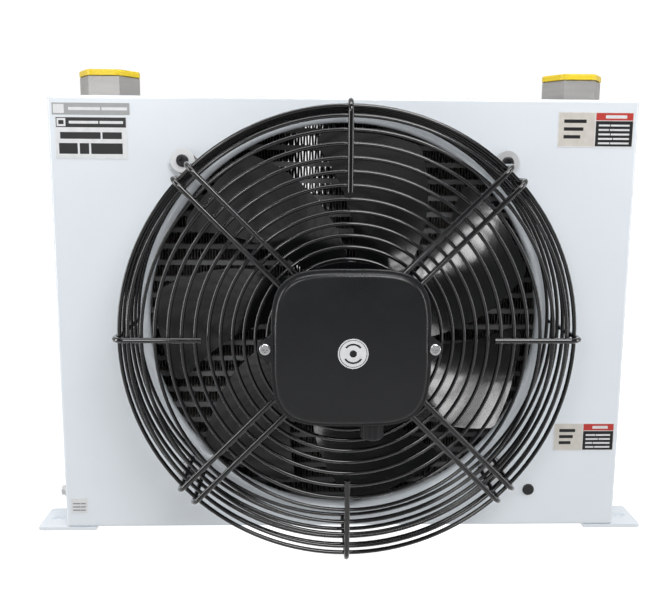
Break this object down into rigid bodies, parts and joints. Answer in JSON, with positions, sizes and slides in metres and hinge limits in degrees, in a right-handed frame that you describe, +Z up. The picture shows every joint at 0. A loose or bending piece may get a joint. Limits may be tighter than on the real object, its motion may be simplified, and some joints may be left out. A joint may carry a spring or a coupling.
{
  "type": "hydraulic oil cooler",
  "caption": "Air-blown hydraulic oil cooler: sheet casing around a bar-and-plate core, with a guarded external-rotor fan, capped threaded oil ports and slotted feet.",
  "frame": {"origin": "on the floor under the middle of the whole object's box, at the underside of the feet", "axes": "+X along the casing's width, to the right as seen from the fan side; +Y from the fan side to the core side; +Z up, towards the oil ports"},
  "size_m": [0.532, 0.2264, 0.3979],
  "materials": {
    "casing_white": "gloss powder coat with fine orange peel",
    "zinc_steel": "zinc plated",
    "core_black": "black stoved paint over brazed aluminium",
    "fin_black": "thin black paint over folded aluminium",
    "port_aluminium": "machined, bare",
    "cap_yellow": "moulded polyethylene",
    "guard_black": "gloss black powder coat on wire",
    "rubber_grey": "moulded",
    "screw_black": "black oxide",
    "cast_aluminium": "die cast",
    "lamination_steel": "stacked laminations",
    "copper_winding": "enamelled copper wire",
    "bright_steel": "bright steel",
    "rotor_black": "satin black paint",
    "blade_black": "gloss black paint on pressed steel",
    "box_black": "moulded, fine grained",
    "rubber_black": "moulded",
    "label_white": "printed film"
  },
  "bodies": {
    "cooler": {"air_fins": "fin_black", "badge": "label_white", "bearing_front": "bright_steel", "bearing_rear": "bright_steel", "casing": "casing_white", "core_bolts": "zinc_steel", "core_bottom_plate": "core_black", "core_end_bars": "core_black", "core_pads": "core_black", "core_top_plate": "core_black", "cover_screws": "bright_steel", "earth_screw": "zinc_steel", "foot_front_left": "casing_white", "foot_front_right": "casing_white", "foot_rear_left": "casing_white", "foot_rear_right": "casing_white", "foot_rivets": "zinc_steel", "gland_body": "box_black", "gland_nut": "box_black", "gland_seal": "rubber_black", "guard_bushes": "rubber_grey", "guard_front_rings": "guard_black", "guard_motor_plate": "guard_black", "guard_ribs": "guard_black", "guard_screws": "screw_black", "guard_short_ribs": "guard_black", "guard_side_rings": "guard_black", "guard_washers": "zinc_steel", "hole_plug": "rubber_black", "labels": "label_white", "motor_flange": "cast_aluminium", "motor_screws": "zinc_steel", "oil_passages": "core_black", "port_left": "port_aluminium", "port_right": "port_aluminium", "run_capacitor": "box_black", "stator_core": "lamination_steel", "stator_windings": "copper_winding", "tank_end_plates": "core_black", "tank_left": "core_black", "tank_right": "core_black", "terminal_block": "box_black", "terminal_box": "box_black", "terminal_cover": "box_black", "terminal_gasket": "rubber_black"},
    "rotor": {"motor_shaft": "bright_steel", "shaft_circlip": "zinc_steel", "rotor_can": "rotor_black", "rotor_cage": "lamination_steel", "hub_ring": "rotor_black", "hub_rivets": "zinc_steel", "fan_blade_1": "blade_black", "fan_blade_2": "blade_black", "fan_blade_3": "blade_black", "fan_blade_4": "blade_black", "fan_blade_5": "blade_black", "fan_blade_6": "blade_black", "fan_blade_7": "blade_black"},
    "cap_left": {"port_cap_left": "cap_yellow"},
    "cap_right": {"port_cap_right": "cap_yellow"}
  },
  "joints": [
    {"name": "fan_spin", "type": "hinge", "parent": "cooler", "child": "rotor", "pos_m": [0, 0.0042, 0.18725], "axis": [0, -1, 0], "continuous": true},
    {"name": "cap_left_pull", "type": "slide", "parent": "cooler", "child": "cap_left", "axis": [0, 0, 1], "range_m": [0, 0.06]},
    {"name": "cap_right_pull", "type": "slide", "parent": "cooler", "child": "cap_right", "axis": [0, 0, 1], "range_m": [0, 0.06]}
  ]
}
